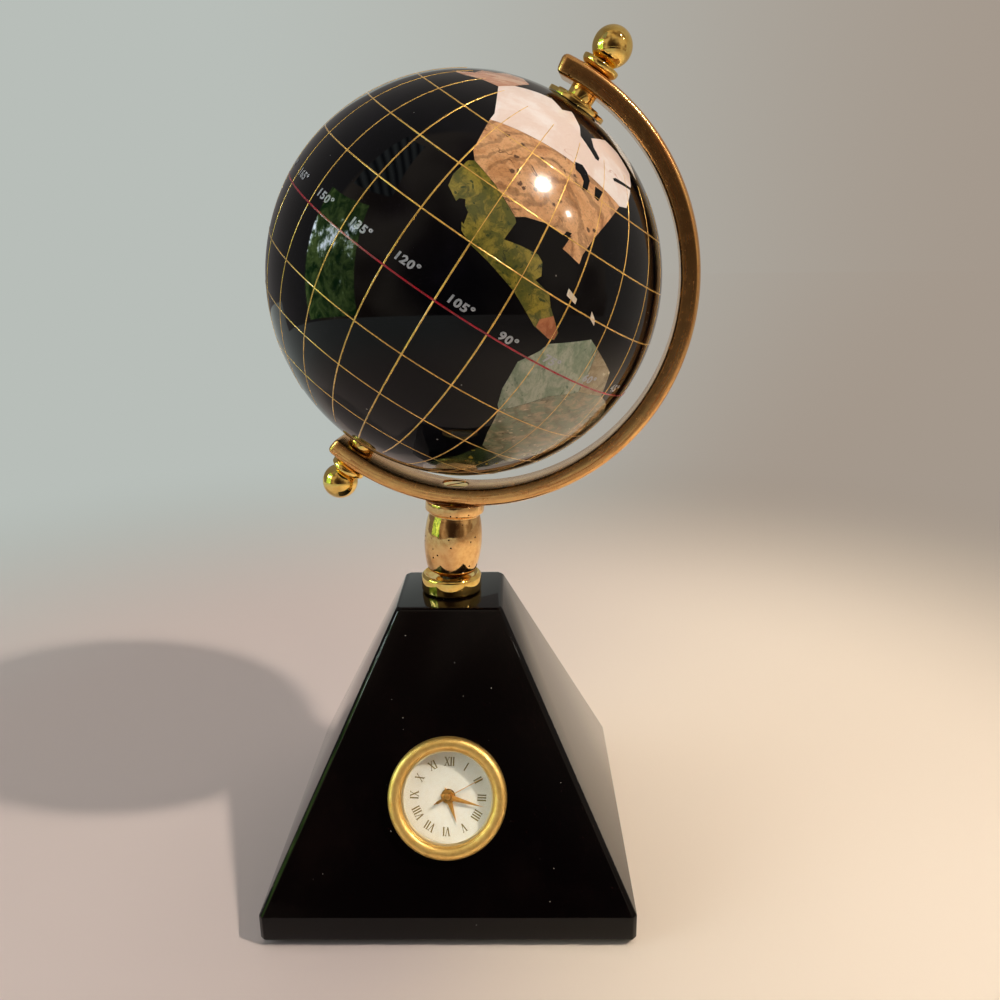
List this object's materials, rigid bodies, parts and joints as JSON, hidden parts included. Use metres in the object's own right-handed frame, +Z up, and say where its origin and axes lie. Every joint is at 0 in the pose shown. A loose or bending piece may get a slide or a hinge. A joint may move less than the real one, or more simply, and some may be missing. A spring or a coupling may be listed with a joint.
{
  "type": "globe clock",
  "caption": "Desk globe clock: a stone-inlaid globe spins on a tilted axis in a bent gold arm, on a black pyramid base whose front face holds a small pull-out clock.",
  "frame": {"origin": "middle of the felt's underside, under the middle of the square base", "axes": "+Z up, the clock faces -Y, +X to the right of someone who faces the clock"},
  "size_m": [0.0905, 0.0797, 0.1783],
  "materials": {
    "black_stone": "polished",
    "ocean_stone": "polished",
    "gold_plate": "polished gold plate",
    "brass_work": "plain turned",
    "steel": "plain",
    "felt": "felt",
    "core_resin": "cast resin",
    "pale_nylon": "moulded",
    "dark_nylon": "moulded",
    "lens_glass": "polished",
    "dial_enamel": "satin cream",
    "case_plastic": "moulded",
    "grip_rubber": "matt",
    "board_green": "matt",
    "coil_copper": "enamelled copper wire",
    "knob_plastic": "moulded",
    "land_alaska": "polished inlay",
    "land_canada": "polished inlay",
    "land_united_states": "polished inlay",
    "land_central_america": "polished inlay",
    "land_greenland": "polished inlay",
    "land_andes": "polished inlay",
    "land_guiana": "polished inlay",
    "land_brazil": "polished inlay",
    "land_pampas": "polished inlay",
    "land_north_africa": "polished inlay",
    "land_southern_africa": "polished inlay",
    "land_europe": "polished inlay",
    "land_russia": "polished inlay",
    "land_east_asia": "polished inlay",
    "land_south_asia": "polished inlay",
    "land_australasia": "polished inlay"
  },
  "bodies": {
    "stand": {"base_block": "black_stone", "felt_pad": "felt", "tie_rod": "steel", "rod_washer": "steel", "rod_nut": "steel", "foot_ring": "gold_plate", "stem_barrel": "gold_plate", "meridian_arm": "gold_plate", "arm_screw": "brass_work", "axis_rod": "steel", "top_finial": "gold_plate", "top_finial_collar": "gold_plate", "bottom_finial": "gold_plate", "bottom_finial_collar": "gold_plate", "top_spacer": "gold_plate", "bottom_thrust_washer": "gold_plate"},
    "globe": {"north_flange": "gold_plate", "north_bush": "pale_nylon", "south_bush": "dark_nylon", "core_north": "core_resin", "core_south": "core_resin", "ocean_layer": "ocean_stone", "land_alaska": "land_alaska", "land_canada": "land_canada", "land_united_states": "land_united_states", "land_central_america": "land_central_america", "land_greenland": "land_greenland", "land_andes": "land_andes", "land_guiana": "land_guiana", "land_brazil": "land_brazil", "land_pampas": "land_pampas", "land_north_africa": "land_north_africa", "land_southern_africa": "land_southern_africa", "land_europe": "land_europe", "land_russia": "land_russia", "land_east_asia": "land_east_asia", "land_south_asia": "land_south_asia", "land_australasia": "land_australasia"},
    "clock_insert": {"bezel": "gold_plate", "lens": "lens_glass", "dial_ring": "gold_plate", "dial": "dial_enamel", "clock_case": "case_plastic", "grip_ring": "grip_rubber", "main_plate": "brass_work", "circuit_board": "board_green", "drive_coil": "coil_copper", "stator": "steel", "battery": "steel"},
    "second_hand_set": {"second_hand": "gold_plate", "seconds_wheel": "brass_work"},
    "minute_hand_set": {"minute_hand": "gold_plate", "cannon_wheel": "brass_work"},
    "hour_hand_set": {"hour_hand": "gold_plate", "hour_wheel": "brass_work"},
    "third_wheel_set": {"third_wheel": "brass_work"},
    "motion_wheel_set": {"motion_wheel": "brass_work"},
    "rotor_set": {"rotor": "steel"},
    "knob_set": {"setting_knob": "knob_plastic"}
  },
  "joints": [
    {"name": "globe_spin", "type": "hinge", "parent": "stand", "child": "globe", "pos_m": [0.00447, -0.00055, 0.13134], "axis": [0.555, -0.0681, 0.829], "continuous": true},
    {"name": "insert_pull", "type": "slide", "parent": "stand", "child": "clock_insert", "axis": [0, -0.9016, 0.4325], "range_m": [0, 0.014]},
    {"name": "second_hand_turn", "type": "hinge", "parent": "clock_insert", "child": "second_hand_set", "pos_m": [0, -0.02841, 0.02836], "axis": [0, 0.9016, -0.4325], "continuous": true},
    {"name": "minute_hand_turn", "type": "hinge", "parent": "clock_insert", "child": "minute_hand_set", "pos_m": [0, -0.02841, 0.02836], "axis": [0, 0.9016, -0.4325], "continuous": true},
    {"name": "hour_hand_turn", "type": "hinge", "parent": "clock_insert", "child": "hour_hand_set", "pos_m": [0, -0.02841, 0.02836], "axis": [0, 0.9016, -0.4325], "continuous": true},
    {"name": "third_wheel_turn", "type": "hinge", "parent": "clock_insert", "child": "third_wheel_set", "pos_m": [-0.00238, -0.02873, 0.02768], "axis": [0, 0.9016, -0.4325], "continuous": true},
    {"name": "motion_wheel_turn", "type": "hinge", "parent": "clock_insert", "child": "motion_wheel_set", "pos_m": [0.00016, -0.02685, 0.0316], "axis": [0, 0.9016, -0.4325], "continuous": true},
    {"name": "rotor_turn", "type": "hinge", "parent": "clock_insert", "child": "rotor_set", "pos_m": [0.00177, -0.02911, 0.0269], "axis": [0, 0.9016, -0.4325], "continuous": true},
    {"name": "setting_knob_turn", "type": "hinge", "parent": "clock_insert", "child": "knob_set", "pos_m": [0.00031, -0.02534, 0.03476], "axis": [0, 0.9016, -0.4325], "continuous": true}
  ],
  "couplings": [
    {"joint": "minute_hand_turn", "follows": "second_hand_turn", "ratio": 0.016667},
    {"joint": "hour_hand_turn", "follows": "second_hand_turn", "ratio": 0.0013889},
    {"joint": "third_wheel_turn", "follows": "second_hand_turn", "ratio": -0.125},
    {"joint": "motion_wheel_turn", "follows": "second_hand_turn", "ratio": -0.0055556},
    {"joint": "rotor_turn", "follows": "second_hand_turn", "ratio": -30},
    {"joint": "setting_knob_turn", "follows": "second_hand_turn", "ratio": 0.016667}
  ]
}
